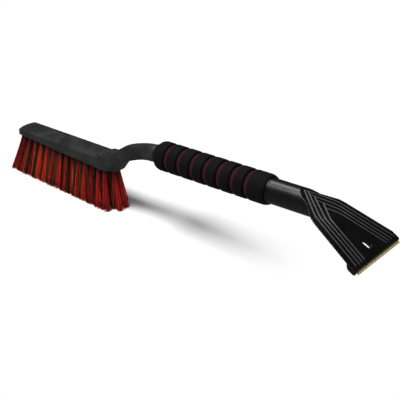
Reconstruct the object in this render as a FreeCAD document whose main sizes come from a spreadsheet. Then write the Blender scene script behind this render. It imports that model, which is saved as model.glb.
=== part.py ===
"""Snow brush with an ice scraper: a long car tool with bristles at one end and a brass blade at the other.

Frame: millimetres, +Z up, +X along the tool from the brush to the scraper. The XZ plane divides it into like
halves, apart from the ribs' crossings.
The trimmed bristle tips lie on Z = 0. The origin is the bottom centre of the bounding box.

The brush moulding and the scraper moulding each plug into the core tube, which the foam grip covers.
Nothing moves: the tool is one rigid assembly.
"""

import FreeCAD
import Part
import math
import os
import Sketcher
from FreeCAD import Placement, Rotation, Vector

# Driving dimensions: millimetres and degrees.
DRIVING = {
    # brush block
    "brush_end": -266.2,  # X of the block's free end
    "block_length": 172,
    "block_width": 30,
    "block_underside": 55.5,
    "block_end_thickness": 7.2,
    "block_slope": 3.2,
    "block_end_overhang": 3,
    "block_end_bulge": 2,
    "block_end_corner": 5,
    "block_nose_length": 22,
    "block_edge_round": 1.6,
    # web under the neck
    "gusset_foot": 176,  # from the block's free end, as is gusset_head
    "gusset_head": 185,
    "gusset_height": 70.5,
    "gusset_width": 17,
    "gusset_round": 3,
    "gusset_lap": 1.5,  # how far it runs up into the block
    "gusset_depth": 5,  # how far its head runs up into the neck
    "gusset_root_depth": 7,
    # bristle tufts
    "tuft_pitch": 5.85,
    "tuft_first": 5.2,
    "tuft_last_inner": 166.5,
    "tuft_last_outer": 158.5,
    "tuft_row_inner": 3.6,
    "tuft_row_outer": 10.8,
    "tuft_root_radius": 1.9,
    "tuft_tip_radius": 2.6,
    "tuft_hole_radius": 2,
    "tuft_hole_depth": 4.8,
    "tuft_root_depth": 2.6,
    "anchor_width": 3.4,
    "anchor_height": 1.8,
    "anchor_thickness": 0.5,
    "lean_even": 4.4,
    "lean_free_end": 18.2,
    "lean_neck_end": 11,
    "lean_sharpness": 5,
    "side_spread": 1.5,
    # handle axis
    "handle_start": -25.7,
    "handle_height": 101.5,
    "handle_tilt": 4.1,
    # brush neck, its bead and its spigot
    "bead_radius": 11.5,
    "bead_width": 1.6,
    "bead_gap": 0.6,
    "collar_radius": 10.5,
    "spigot_radius": 9.5,
    "spigot_bore": 6,
    "spigot_length": 42,
    # core tube and cross pins
    "core_start": 7,
    "core_end": 168,
    "core_radius": 11,
    "core_bore": 9.55,
    "pin_radius": 1.6,
    "pin_inset": 24,
    "pin_clearance": 0.03,
    "pin_recess": 0.3,
    # foam grip
    "grip_length": 169,
    "grip_radius": 18,
    "grip_bore": 11.05,
    "grip_red_radius": 15.3,
    "grip_nose_radius": 11.6,
    "grip_nose_length": 8.5,
    "groove_first": 22.6,
    "groove_pitch": 19.85,
    "groove_width": 3.2,
    "shoulder": 1.3,
    # scraper moulding
    "barrel_radius": 14.6,
    "barrel_collar_radius": 15.3,
    "barrel_collar_width": 2.2,
    "barrel_length": 96,
    "face_apex": 181.8,
    "face_apex_height": 131,
    "face_tilt": 22.5,
    "fan_shoulder": 34.6,
    "fan_shoulder_width": 26,
    "fan_knee": 41.1,
    "fan_knee_width": 28.4,
    "fan_length": 107.4,
    "fan_front_width": 44.4,
    "fan_thickness": 4,
    "fan_chamfer": 2.7,
    "fan_corner_radius": 8,
    "bar_length": 11.3,
    "bar_thickness": 7.4,
    "bar_inset": 1.6,
    "bar_chamfer": 3,
    "bar_corner_radius": 3.5,
    "cheek_back": 6,
    "cheek_reach": 2.2,
    "cheek_drop": 1.2,
    "cheek_thickness": 5.6,
    "cheek_overlap": 0.5,
    "cheek_bevel": 1.2,
    "rib_width": 1.1,
    "rib_height": 0.9,
    "slot_centre": 93,
    "slot_length": 11.8,
    "slot_width": 6.4,
    # brass blade
    "blade_width": 80,
    "blade_depth": 13,
    "blade_reach": 4.9,
    "blade_thickness": 1.2,
    "blade_level": 3.5,
    "blade_key_radius": 2,
    "blade_key_pitch": 20,
    "blade_clearance": 0.05,
}

# Sections of the gooseneck: distance from the block's free end, height, slope, half width, half height, corner.
NECK_SECTIONS = (
    (150, 63.5, 16, 14.6, 7.6, 2.2),
    (164, 68.6, 30, 14.2, 8.4, 3.6),
    (177, 76.2, 36, 12.6, 8.6, 6.6),
    (190, 85.3, 31, 11.0, 9.6, 8.8),
    (203, 91.7, 23, 10.3, 10.0, 9.5),
    (217, 96.8, 15, 10.4, 10.2, 10.1),
    (229, 99.7, 9, 10.7, 10.6, 10.5),
    (239.1, 101.4, 4.1, 10.8, 10.8, 10.7),
)

# Chevron ribs on the scraper face: apex, bend and front end, each as (distance down the face, half width).
RIBS = (
    ((4.3, 0), (36.0, 20.6), (103.4, 36.8)),
    ((11.9, 0), (39.8, 16.6), (103.4, 31.0)),
    ((21.6, 0), (44.4, 12.8), (103.4, 25.9)),
    ((34.6, 0), (48.2, 8.4), (103.4, 20.9)),
)

BANDS = 8
ROWS = 4
COLOURS = ("red", "black")


def make_sheet(doc):
    """The spreadsheet of driving dimensions, one named cell each."""
    sheet = doc.addObject("Spreadsheet::Sheet", "sizes")
    for row, (name, number) in enumerate(DRIVING.items(), 1):
        sheet.set(f"A{row}", name)
        sheet.set(f"B{row}", str(number))
        sheet.setAlias(f"B{row}", name)
    doc.recompute()


def make_gauge(doc):
    """An object with one number, which is bound to whatever expression is to be read."""
    gauge = doc.addObject("App::FeaturePython", "gauge")
    gauge.addProperty("App::PropertyFloat", "reading")
    return gauge


def size(expression):
    """The value of an expression in the sheet's cells, as a plain number, read off the gauge."""
    gauge.setExpression("reading", expression)
    gauge.recompute()
    return gauge.reading


def bind(thing, **expressions):
    """Binds properties to expressions in the sheet's cells."""
    for name, expression in expressions.items():
        thing.setExpression(name.replace("__", "."), expression)
    return thing


# Sketches


def lay_sketch(body, name, plane):
    """An empty sketch on one of the body's own origin planes."""
    sketch = body.newObject("Sketcher::SketchObject", name)
    origin_plane = next(o for o in body.Origin.OriginFeatures if o.Role == plane)
    sketch.AttachmentSupport = [(origin_plane, "")]
    sketch.MapMode = "FlatFace"
    return sketch


def fix_point(sketch, geometry, point, corner):
    """Ties one point of the sketch to a pair of expressions."""
    for kind, expression in zip(("DistanceX", "DistanceY"), corner):
        number = sketch.addConstraint(Sketcher.Constraint(kind, geometry, point, size(expression)))
        sketch.setExpression(f"Constraints[{number}]", expression)


def draw_polygon(sketch, corners):
    """A closed polygon through corners, each a pair of expressions."""
    places = [Vector(size(x), size(y), 0) for x, y in corners]
    first = sketch.GeometryCount
    for here, there in zip(places, places[1:] + places[:1]):
        sketch.addGeometry(Part.LineSegment(here, there), False)
    for i, corner in enumerate(corners):
        previous = first + (i - 1) % len(corners)
        sketch.addConstraint(Sketcher.Constraint("Coincident", previous, 2, first + i, 1))
        fix_point(sketch, first + i, 1, corner)


def draw_circle(sketch, centre, radius):
    """A circle whose centre is a pair of expressions and whose radius is one."""
    place = Vector(size(centre[0]), size(centre[1]), 0)
    circle = sketch.addGeometry(Part.Circle(place, Vector(0, 0, 1), size(radius)), False)
    fix_point(sketch, circle, 3, centre)
    number = sketch.addConstraint(Sketcher.Constraint("Radius", circle, size(radius)))
    sketch.setExpression(f"Constraints[{number}]", radius)


# Sub-parts on the handle axis


def on_handle(thing):
    """Places a piece drawn along +X on the tilted handle axis."""
    thing.Placement = Placement(Vector(0, 0, 0), Rotation(Vector(0, 1, 0), 0))
    bind(
        thing,
        Placement__Base__x="sizes.handle_start",
        Placement__Base__z="sizes.handle_height",
    )
    thing.Placement.Rotation = Rotation(Vector(0, 1, 0), -size("sizes.handle_tilt"))
    return thing


def turned_body(doc, label, corners):
    """A body turned about the handle axis from a profile of (along, radius) corners."""
    body = doc.addObject("PartDesign::Body", label)
    sketch = lay_sketch(body, label + "_profile", "XZ_Plane")
    draw_polygon(sketch, corners)
    turn = body.newObject("PartDesign::Revolution", label + "_turn")
    turn.Profile = sketch
    turn.ReferenceAxis = (sketch, ["H_Axis"])
    turn.Angle = 360
    return on_handle(body)


def cross_pin(doc, label, along):
    """A pin across the core tube, just inside its outer skin."""
    pin = doc.addObject("Part::Cylinder", label)
    bind(
        pin,
        Radius="sizes.pin_radius - sizes.pin_clearance",
        Height="2 * (sizes.core_radius - sizes.pin_recess)",
    )
    doc.recompute()
    place_across(pin, along)
    return pin


def place_across(cylinder, along):
    """Lays a cylinder across the handle axis, centred on it, at a distance along it."""
    tilt = math.radians(size("sizes.handle_tilt"))
    reach = size(along)
    cylinder.Placement = Placement(
        Vector(
            size("sizes.handle_start") + reach * math.cos(tilt),
            cylinder.Height.Value / 2,
            size("sizes.handle_height") + reach * math.sin(tilt),
        ),
        Rotation(Vector(1, 0, 0), 90),
    )


def pin_hole(doc, label, along):
    """The hole for a cross pin, longer than anything that it goes through."""
    hole = doc.addObject("Part::Cylinder", label)
    bind(hole, Radius="sizes.pin_radius", Height="4 * sizes.core_radius")
    doc.recompute()
    place_across(hole, along)
    return hole


def make_core_tube(doc):
    """The tube inside the grip, drilled for the two pins."""
    tube = turned_body(
        doc,
        "core_tube_blank",
        (
            ("sizes.core_start", "sizes.core_bore"),
            ("sizes.core_end", "sizes.core_bore"),
            ("sizes.core_end", "sizes.core_radius"),
            ("sizes.core_start", "sizes.core_radius"),
        ),
    )
    return cut(doc, "core_tube", tube, pin_holes(doc, "core_tube"))


def pin_holes(doc, owner):
    """Both pin holes as one tool."""
    holes = [pin_hole(doc, f"{owner}_{end}_hole", along) for end, along in PIN_PLACES.items()]
    return fuse(doc, owner + "_holes", holes)


PIN_PLACES = {
    "neck": "sizes.core_start + sizes.pin_inset",
    "scraper": "sizes.core_end - sizes.pin_inset",
}


def make_grip_core(doc):
    """The red inner foam sleeve, which shows at the bottom of the grooves."""
    return turned_body(
        doc,
        "grip_red_sleeve",
        (
            ("sizes.core_start", "sizes.grip_bore"),
            ("sizes.grip_length - 1", "sizes.grip_bore"),
            ("sizes.grip_length - 1", "sizes.grip_red_radius"),
            ("sizes.grip_nose_length", "sizes.grip_red_radius"),
            ("sizes.core_start", "sizes.grip_red_radius - 1.5"),
        ),
    )


def make_grip_bands(doc):
    """The black outer foam, turned down to the red sleeve between its bands."""
    for k in range(BANDS):
        start = f"sizes.groove_first + {k - 1} * sizes.groove_pitch + sizes.groove_width / 2"
        end = f"sizes.groove_first + {k} * sizes.groove_pitch - sizes.groove_width / 2"
        low, high = "sizes.grip_red_radius + 0.02", "sizes.grip_radius"
        left = ((start, low), (start, high + " - sizes.shoulder"), (start + " + sizes.shoulder", high))
        right = ((end + " - sizes.shoulder", high), (end, high + " - sizes.shoulder"), (end, low))
        if k == 0:
            left = (
                ("sizes.grip_nose_length", low),
                ("sizes.core_start - 0.1", "sizes.grip_red_radius - 1.5 + 0.02"),
                ("sizes.core_start - 0.1", "sizes.grip_bore - 0.1"),
                ("0", "sizes.grip_bore - 0.1"),
                ("0", "sizes.grip_nose_radius"),
                ("sizes.grip_nose_length * 0.45", "sizes.grip_nose_radius + 3.4"),
                ("sizes.grip_nose_length", high),
            )
        if k == BANDS - 1:
            right = (
                ("sizes.grip_length - 4", high),
                ("sizes.grip_length", high + " - 1.3"),
                ("sizes.grip_length", low),
            )
        turned_body(doc, f"grip_band_{k + 1}", left + right)


# Brush head


def block_plan(doc):
    """The block seen from above: a bulged free end, straight sides and an elliptical nose."""
    half = size("sizes.block_width / 2")
    start = size("sizes.brush_end - sizes.block_end_overhang")
    bulge, corner = size("sizes.block_end_bulge"), size("sizes.block_end_corner")
    end = size("sizes.brush_end + sizes.block_length")
    nose = end - size("sizes.block_nose_length")
    middle = corner * (1 - math.sqrt(0.5))
    oval = Part.Ellipse(Vector(end, 0, 0), Vector(nose, half, 0), Vector(nose, 0, 0))
    edges = [oval.toShape(-math.pi / 2, math.pi / 2)]
    for side in (-1, 1):
        flank, turn = Vector(start + corner, side * half, 0), Vector(start, side * (half - corner), 0)
        between = Vector(start + middle, side * (half - middle), 0)
        edges.append(Part.LineSegment(Vector(nose, side * half, 0), flank).toShape())
        edges.append(Part.Arc(flank, between, turn).toShape())
    across = half - corner
    bow = Part.Arc(Vector(start, across, 0), Vector(start - bulge, 0, 0), Vector(start, -across, 0))
    edges.append(bow.toShape())
    return Part.Wire(Part.__sortEdges__(edges))


def make_block(doc):
    """The bristle block: its plan cut by its sloping top, with rounded upper edges."""
    plan = doc.addObject("Part::Feature", "block_plan")
    plan.Shape = block_plan(doc)
    plan.Placement = Placement(Vector(0, 0, size("sizes.block_underside")), Rotation())
    prism = doc.addObject("Part::Extrusion", "block_prism")
    prism.Base = plan
    prism.DirMode = "Custom"
    prism.Dir = Vector(0, 0, 1)
    prism.Solid = True
    bind(prism, LengthFwd="sizes.block_length / 4")
    above = doc.addObject("Part::Box", "block_top_cut")
    bind(
        above,
        Length="sizes.block_length * 1.2",
        Width="sizes.block_width * 2",
        Height="sizes.block_length / 2",
    )
    above.Placement = Placement(
        Vector(
            size("sizes.brush_end - 10"),
            -size("sizes.block_width"),
            size("sizes.block_underside + sizes.block_end_thickness - 10 * tan(sizes.block_slope)"),
        ),
        Rotation(Vector(0, 1, 0), -size("sizes.block_slope")),
    )
    block = cut(doc, "block_sloped", prism, above)
    doc.recompute()
    rounded = doc.addObject("Part::Fillet", "block_rounded")
    rounded.Base = block
    radius = size("sizes.block_edge_round")
    underside = size("sizes.block_underside")
    rounded.Edges = [
        (number, radius, radius)
        for number, edge in enumerate(block.Shape.Edges, 1)
        if edge.BoundBox.ZMin > underside + 1
    ]
    return rounded


def neck_section(along, height, slope, half_width, half_height, corner):
    """A rounded rectangle across the neck, as a wire of four lines and four arcs."""
    reach, rise = half_width - corner, half_height - corner
    middle = corner * math.sqrt(0.5)
    edges = []
    for turn in range(4):
        across, up = (reach, rise) if turn % 2 == 0 else (rise, reach)
        wide, high = (half_width, half_height) if turn % 2 == 0 else (half_height, half_width)
        quarter = Rotation(Vector(0, 0, 1), 90 * turn)
        line = (Vector(wide, -up, 0), Vector(wide, up, 0))
        arc = (Vector(wide, up, 0), Vector(across + middle, up + middle, 0), Vector(across, high, 0))
        edges.append(Part.LineSegment(*(quarter.multVec(p) for p in line)).toShape())
        edges.append(Part.Arc(*(quarter.multVec(p) for p in arc)).toShape())
    wire = Part.Wire(edges)
    across_y = Vector(0, 1, 0)
    forward = Vector(math.cos(math.radians(slope)), 0, math.sin(math.radians(slope)))
    upward = forward.cross(across_y)
    centre = Vector(size("sizes.brush_end") + along, 0, height)
    wire.Placement = Placement(centre, Rotation(across_y, upward, forward, "ZXY"))
    return wire


def make_neck(doc):
    """The gooseneck, lofted from the block's full width to the round end that meets the grip."""
    neck = doc.addObject("Part::Feature", "neck")
    neck.Shape = Part.makeLoft([neck_section(*section) for section in NECK_SECTIONS], True, False)
    return neck


def make_gusset(doc):
    """The web that slopes from the block's nose up to the underside of the neck, with rounded sides."""
    body = doc.addObject("PartDesign::Body", "gusset")
    sketch = lay_sketch(body, "gusset_profile", "XZ_Plane")
    foot, head = "sizes.brush_end + sizes.gusset_foot", "sizes.brush_end + sizes.gusset_head"
    inside, bottom = foot + " - sizes.block_nose_length", "sizes.block_underside + sizes.gusset_lap"
    corners = [(inside, bottom), (foot, bottom), (head, "sizes.gusset_height")]
    corners.append((head, "sizes.gusset_height + sizes.gusset_depth"))
    corners.append((inside, bottom + " + sizes.gusset_root_depth"))
    draw_polygon(sketch, corners)
    pad = body.newObject("PartDesign::Pad", "gusset_pad")
    pad.Profile = sketch
    pad.Midplane = True
    bind(pad, Length="sizes.gusset_width")
    slope_middle = size(f"({foot} + {head}) / 2")

    def sloping_side(middle, edge):
        return abs(middle.x - slope_middle) < 0.5 and abs(middle.y) > 1

    dress(doc, body, "Fillet", 1, "sizes.gusset_round", sloping_side)
    return body


def is_outer(row):
    """Whether a row runs along one side of the block."""
    return row in (0, ROWS - 1)


def row_places(row):
    """The places of one row's tufts from the block's free end, and its Y. Inner rows stand half a pitch on."""
    outer = is_outer(row)
    across = size("sizes.tuft_row_outer" if outer else "sizes.tuft_row_inner")
    side = -1 if row < ROWS / 2 else 1
    pitch = size("sizes.tuft_pitch")
    last = size("sizes.tuft_last_outer" if outer else "sizes.tuft_last_inner")
    first = size("sizes.tuft_first") + (0 if outer else pitch / 2)
    count = int((last - first) / pitch) + 1
    return [first + i * pitch for i in range(count)], side * across


def tuft_tip(along, across):
    """Where a tuft's tip lies: tufts lean out over the free end, the nose and both sides."""
    share = along / size("sizes.block_length")
    sharp = size("sizes.lean_sharpness")
    lean = -size("sizes.lean_even") * (1 - share)
    lean -= size("sizes.lean_free_end") * (1 - share) ** sharp
    lean += size("sizes.lean_neck_end") * share**sharp
    return Vector(size("sizes.brush_end") + along + lean, across * size("sizes.side_spread"), 0)


def make_tuft(along, across):
    """One tuft: a cone from its root in the block to its tip, trimmed flat on Z = 0."""
    root_z = size("sizes.block_underside + sizes.tuft_root_depth")
    root = Vector(size("sizes.brush_end") + along, across, root_z)
    hang = tuft_tip(along, across) - root
    straight = Vector(root.x, root.y, size("sizes.block_underside") - 0.5)
    thin, wide = size("sizes.tuft_root_radius"), size("sizes.tuft_tip_radius")
    stub = Part.makeCylinder(thin, root.z - straight.z, straight)
    longer = 1.08
    cone = Part.makeCone(thin, thin + (wide - thin) * longer, hang.Length * longer, root, hang)
    below = Part.makeBox(60, 60, 30, Vector(root.x + hang.x - 30, root.y + hang.y - 30, -30))
    above = Part.makeBox(60, 60, 30, Vector(root.x - 30, root.y - 30, straight.z))
    return cone.cut([below, above]).fuse(stub).removeSplitter().Solids[0]


def make_tufts(doc):
    """Four rows of tufts, red and black by turns. All end in red at the neck, and inner rows start in black."""
    for row in range(ROWS):
        places, across = row_places(row)
        colours = COLOURS if is_outer(row) else COLOURS[::-1]
        for turn, colour in enumerate(colours):
            group = doc.addObject("Part::Feature", f"{colour}_tufts_row_{row + 1}")
            group.Shape = Part.makeCompound([make_tuft(x, across) for x in places[turn :: len(colours)]])


def make_anchors(doc):
    """The flat wire anchors that hold the tufts' roots, one at the bottom of each hole."""
    wide, thick, high = (size(f"sizes.anchor_{side}") for side in ("width", "thickness", "height"))
    level = size("sizes.block_underside + sizes.tuft_root_depth + 0.1")
    anchors = []
    for row in range(ROWS):
        places, across = row_places(row)
        for along in places:
            corner = Vector(size("sizes.brush_end") + along - thick / 2, across - wide / 2, level)
            anchors.append(Part.makeBox(thick, wide, high, corner))
    group = doc.addObject("Part::Feature", "tuft_anchors")
    group.Shape = Part.makeCompound(anchors)


def make_tuft_holes(doc):
    """The blind holes of all the tufts, as one tool."""
    radius, depth = size("sizes.tuft_hole_radius"), size("sizes.tuft_hole_depth")
    start, below = size("sizes.brush_end"), 1
    level = size("sizes.block_underside") - below
    holes = []
    for row in range(ROWS):
        places, across = row_places(row)
        for along in places:
            holes.append(Part.makeCylinder(radius, depth + below, Vector(start + along, across, level)))
    tool = doc.addObject("Part::Feature", "tuft_holes")
    tool.Shape = Part.makeCompound(holes)
    return tool


def make_brush_head(doc):
    """The brush moulding: block, gooseneck, web, bead and hollow spigot in one piece."""
    bead_end = "-sizes.bead_gap - sizes.bead_width"
    spigot = turned_body(
        doc,
        "neck_spigot",
        (
            (bead_end, "0"),
            (bead_end, "sizes.bead_radius - 0.4"),
            (bead_end + " + 0.4", "sizes.bead_radius"),
            ("-sizes.bead_gap - 0.4", "sizes.bead_radius"),
            ("-sizes.bead_gap", "sizes.bead_radius - 0.4"),
            ("-sizes.bead_gap", "sizes.collar_radius"),
            ("sizes.core_start - 0.2", "sizes.collar_radius"),
            ("sizes.core_start - 0.2", "sizes.spigot_radius"),
            ("sizes.core_start + sizes.spigot_length", "sizes.spigot_radius"),
            ("sizes.core_start + sizes.spigot_length", "sizes.spigot_bore"),
            ("sizes.core_start + 4", "sizes.spigot_bore"),
            ("sizes.core_start + 4", "0"),
        ),
    )
    neck_web = fuse(doc, "neck_web", [make_neck(doc), make_gusset(doc)])
    neck = fuse(doc, "neck_moulding", [neck_web, spigot])
    moulding = fuse(doc, "brush_moulding", [make_block(doc), neck])
    holes = fuse(doc, "brush_holes", [make_tuft_holes(doc), pin_hole(doc, "neck_pin_hole", PIN_PLACES["neck"])])
    return cut(doc, "brush_head", moulding, holes)


# Scraper


def on_face(thing):
    """Places a piece drawn with +X down the scraper's face and +Z out of it."""
    apex = Vector(size("sizes.face_apex"), 0, size("sizes.face_apex_height"))
    thing.Placement = Placement(apex, Rotation(Vector(0, 1, 0), size("sizes.face_tilt")))
    return thing


def face_pad(doc, label, outlines, length, midplane=False, downward=False, circles=()):
    """A body padded from closed outlines on the scraper's face plane."""
    body = doc.addObject("PartDesign::Body", label)
    sketch = lay_sketch(body, label + "_outline", "XY_Plane")
    for outline in outlines:
        draw_polygon(sketch, outline)
    for centre, radius in circles:
        draw_circle(sketch, centre, radius)
    pad = body.newObject("PartDesign::Pad", label + "_pad")
    pad.Profile = sketch
    pad.Midplane = midplane
    pad.Reversed = downward
    bind(pad, Length=length)
    return on_face(body)


def mirrored(corners):
    """A half outline of (along, half width) expressions, closed by its mirror image."""
    other_side = [(x, f"-({y})") for x, y in reversed(corners) if y != "0"]
    return tuple(corners) + tuple(other_side)


def fan_corners():
    """Half of the fan's outline, from its apex to the blade edge."""
    return [
        ("0", "0"),
        ("sizes.fan_shoulder", "sizes.fan_shoulder_width"),
        ("sizes.fan_knee", "sizes.fan_knee_width"),
        ("sizes.fan_length", "sizes.fan_front_width"),
    ]


def edge_names(shape, wanted):
    """The names of the edges of a shape whose middle point passes a test."""
    names = []
    for number, edge in enumerate(shape.Edges, 1):
        middle = edge.valueAt((edge.FirstParameter + edge.LastParameter) / 2)
        if wanted(middle, edge):
            names.append(f"Edge{number}")
    return names


def dress(doc, body, kind, number, amount, wanted):
    """Adds a fillet or chamfer on the edges of the body's tip that pass a test, in the body's own frame."""
    doc.recompute()
    base = body.Tip
    feature = body.newObject(f"PartDesign::{kind}", f"{body.Name}_{kind.lower()}_{number}")
    feature.Base = (base, edge_names(base.Shape, wanted))
    bind(feature, **{"Radius" if kind == "Fillet" else "Size": amount})
    return feature


def make_fan(doc):
    """The thin fan, bevelled beneath along its sides, and the thicker bar that grips the blade."""
    fan = face_pad(doc, "fan", [mirrored(fan_corners())], "sizes.fan_thickness", downward=True)
    front = size("sizes.fan_length")

    def front_corner(middle, edge):
        return abs(middle.x - front) < 0.1 and edge.BoundBox.ZLength > 1

    def lower_side(middle, edge):
        return middle.z < -1 and edge.BoundBox.ZLength < 0.1 and middle.x < front - 1

    dress(doc, fan, "Fillet", 1, "sizes.fan_corner_radius", front_corner)
    dress(doc, fan, "Chamfer", 2, "sizes.fan_chamfer", lower_side)
    back = "sizes.fan_length - sizes.bar_length"
    slope = "(sizes.fan_front_width - sizes.fan_knee_width) / (sizes.fan_length - sizes.fan_knee)"
    bar_corners = [
        (back, f"sizes.fan_front_width - sizes.bar_inset - sizes.bar_length * {slope}"),
        ("sizes.fan_length", "sizes.fan_front_width - sizes.bar_inset"),
    ]
    bar = face_pad(doc, "blade_bar", [mirrored(bar_corners)], "sizes.bar_thickness", downward=True)
    dress(doc, bar, "Fillet", 1, "sizes.bar_corner_radius", front_corner)

    def lower_back(middle, edge):
        return middle.z < -1 and abs(middle.x - size(back)) < 0.1 and edge.BoundBox.ZLength < 0.1

    dress(doc, bar, "Chamfer", 2, "sizes.bar_chamfer", lower_back)
    return [fan, bar, make_cheeks(doc)]


def make_cheeks(doc):
    """The lugs at both ends of the bar that guard the ends of the blade."""
    inner = "sizes.blade_width / 2 - sizes.cheek_overlap"
    outer = "sizes.fan_front_width - sizes.bar_inset"
    back, front = "sizes.fan_length - sizes.cheek_back", "sizes.fan_length + sizes.cheek_reach"
    corners = [
        (back, inner),
        (back, outer + " - sizes.cheek_bevel"),
        (front + " - 2 * sizes.cheek_bevel", outer),
        (front, outer + " - sizes.cheek_bevel"),
        (front, inner),
    ]
    outlines = [corners, [(x, f"-({y})") for x, y in corners]]
    cheeks = face_pad(doc, "blade_cheeks", outlines, "sizes.cheek_thickness", downward=True)
    cheeks.Placement.Base = cheeks.Placement.multVec(Vector(0, 0, -size("sizes.cheek_drop")))
    return cheeks


def thick_line(points, width):
    """The outline of a line of even width through points, with mitred bends."""
    sides = ([], [])
    for i, point in enumerate(points):
        into = (point - points[i - 1]).normalize() if i else None
        out = (points[i + 1] - point).normalize() if i + 1 < len(points) else None
        along = ((into or out) + (out or into)).normalize()
        normal = Vector(-along.y, along.x, 0)
        spread = width / 2 / max(0.4, normal.dot(Vector(-(into or out).y, (into or out).x, 0)))
        sides[0].append(point + normal * spread)
        sides[1].append(point - normal * spread)
    return sides[0] + sides[1][::-1]


def crossing(start, end, other_start, other_end):
    """Where two lines in the face plane cross."""
    along, other = end - start, other_end - other_start
    between = other_start - start
    share = (between.x * other.y - between.y * other.x) / (along.x * other.y - along.y * other.x)
    return start + along * share


def rib_branches():
    """Both branches of each chevron. A near branch runs on to meet the far branch of the chevron outside it."""
    branches = []
    outside = None
    for corners in RIBS:
        far = [Vector(x, y, 0) for x, y in corners]
        near = [Vector(x, -y, 0) for x, y in corners]
        if outside:
            near[0] = crossing(near[0], near[1], outside[0], outside[1])
        branches += [far, near]
        outside = far
    return branches


def make_ribs(doc):
    """The nested chevron ribs that stand out of the face."""
    ribs = []
    depth = 0.6
    for number, branch in enumerate(rib_branches(), 1):
        outline = thick_line(branch, size("sizes.rib_width"))
        face = Part.Face(Part.makePolygon(outline + outline[:1]))
        rib = doc.addObject("Part::Feature", f"rib_{number}")
        rib.Shape = face.extrude(Vector(0, 0, size("sizes.rib_height") + depth))
        on_face(rib)
        rib.Placement.Base = rib.Placement.multVec(Vector(0, 0, -depth))
        ribs.append(rib)
    return ribs


def make_barrel(doc):
    """The round handle of the scraper moulding, cut away above the fan's face, with its hollow spigot."""
    barrel = turned_body(
        doc,
        "barrel",
        (
            ("sizes.core_end - sizes.spigot_length", "sizes.spigot_bore"),
            ("sizes.core_end - sizes.spigot_length", "sizes.spigot_radius"),
            ("sizes.core_end + 0.2", "sizes.spigot_radius"),
            ("sizes.core_end + 0.2", "sizes.barrel_radius"),
            ("sizes.grip_length + 0.1", "sizes.barrel_radius"),
            ("sizes.grip_length + 0.1", "sizes.barrel_collar_radius - 0.6"),
            ("sizes.grip_length + 0.7", "sizes.barrel_collar_radius"),
            ("sizes.grip_length + sizes.barrel_collar_width - 0.6", "sizes.barrel_collar_radius"),
            ("sizes.grip_length + sizes.barrel_collar_width", "sizes.barrel_radius"),
            ("sizes.grip_length + sizes.barrel_length", "sizes.barrel_radius"),
            ("sizes.grip_length + sizes.barrel_length", "0"),
            ("sizes.grip_length + 33", "0"),
            ("sizes.grip_length + 33", "sizes.spigot_bore"),
        ),
    )
    above = doc.addObject("Part::Box", "above_face")
    bind(
        above,
        Length="sizes.barrel_length * 1.2",
        Width="4 * sizes.barrel_radius",
        Height="sizes.grip_length / 2",
    )
    on_face(above)
    above.Placement.Base = above.Placement.multVec(Vector(0, -2 * size("sizes.barrel_radius"), 0))
    return cut(doc, "barrel_cut", barrel, above)


def make_blade(doc):
    """The brass strip, punched with holes that the moulding fills, and the cavity that it leaves."""
    back = "sizes.fan_length + sizes.blade_reach - sizes.blade_depth"
    front = "sizes.fan_length + sizes.blade_reach"
    key_line = f"{back} + 2 * sizes.blade_key_radius"
    key_steps = (-1.5, -0.5, 0.5, 1.5)
    holes = [((key_line, f"{k} * sizes.blade_key_pitch"), "sizes.blade_key_radius") for k in key_steps]
    corners = [(back, "sizes.blade_width / 2"), (front, "sizes.blade_width / 2")]
    blade = face_pad(doc, "scraper_blade", [mirrored(corners)], "sizes.blade_thickness", True, circles=holes)
    grown = [
        (f"{back} - sizes.blade_clearance", "sizes.blade_width / 2 + sizes.blade_clearance"),
        (f"{front} + 5", "sizes.blade_width / 2 + sizes.blade_clearance"),
    ]
    keys = [(centre, f"{radius} - sizes.blade_clearance") for centre, radius in holes]
    thickness = "sizes.blade_thickness + 2 * sizes.blade_clearance"
    cavity = face_pad(doc, "blade_cavity", [mirrored(grown)], thickness, True, circles=keys)
    for piece in (blade, cavity):
        piece.Placement.Base = piece.Placement.multVec(Vector(0, 0, -size("sizes.blade_level")))
    return cavity


def make_slot(doc):
    """The hanging slot through the fan: a round-ended hole along the tool."""
    half = size("(sizes.slot_length - sizes.slot_width) / 2")
    radius = size("sizes.slot_width / 2")
    centre = size("sizes.slot_centre")
    ends = [Part.makeCylinder(radius, 30, Vector(centre + side * half, 0, -15)) for side in (-1, 1)]
    middle = Part.makeBox(2 * half, 2 * radius, 30, Vector(centre - half, -radius, -15))
    slot = doc.addObject("Part::Feature", "slot")
    slot.Shape = ends[0].fuse([ends[1], middle]).removeSplitter()
    return on_face(slot)


def make_scraper_head(doc):
    """The scraper moulding: spigot, barrel, fan, blade bar, cheeks and ribs in one piece."""
    solid = fuse(doc, "scraper_moulding", [make_barrel(doc)] + make_fan(doc) + make_ribs(doc))
    tools = [make_blade(doc), make_slot(doc), pin_hole(doc, "scraper_pin_hole", PIN_PLACES["scraper"])]
    return cut(doc, "scraper_head", solid, fuse(doc, "scraper_tools", tools))


# Booleans, checks and output


def fuse(doc, label, shapes):
    """The union of several objects."""
    union = doc.addObject("Part::MultiFuse", label)
    union.Shapes = shapes
    union.Refine = True
    return union


def cut(doc, label, base, tool):
    """One object less another."""
    less = doc.addObject("Part::Cut", label)
    less.Base = base
    less.Tool = tool
    less.Refine = True
    return less


def node_names():
    """The sub-parts that are written, in the order in which they are listed."""
    rows = [f"{colour}_tufts_row_{row + 1}" for colour in COLOURS for row in range(ROWS)]
    bands = [f"grip_band_{k + 1}" for k in range(BANDS)]
    pins = [f"{end}_pin" for end in PIN_PLACES]
    singles = ["brush_head", "tuft_anchors", "core_tube", "grip_red_sleeve", "scraper_head", "scraper_blade"]
    return singles + pins + rows + bands


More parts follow.
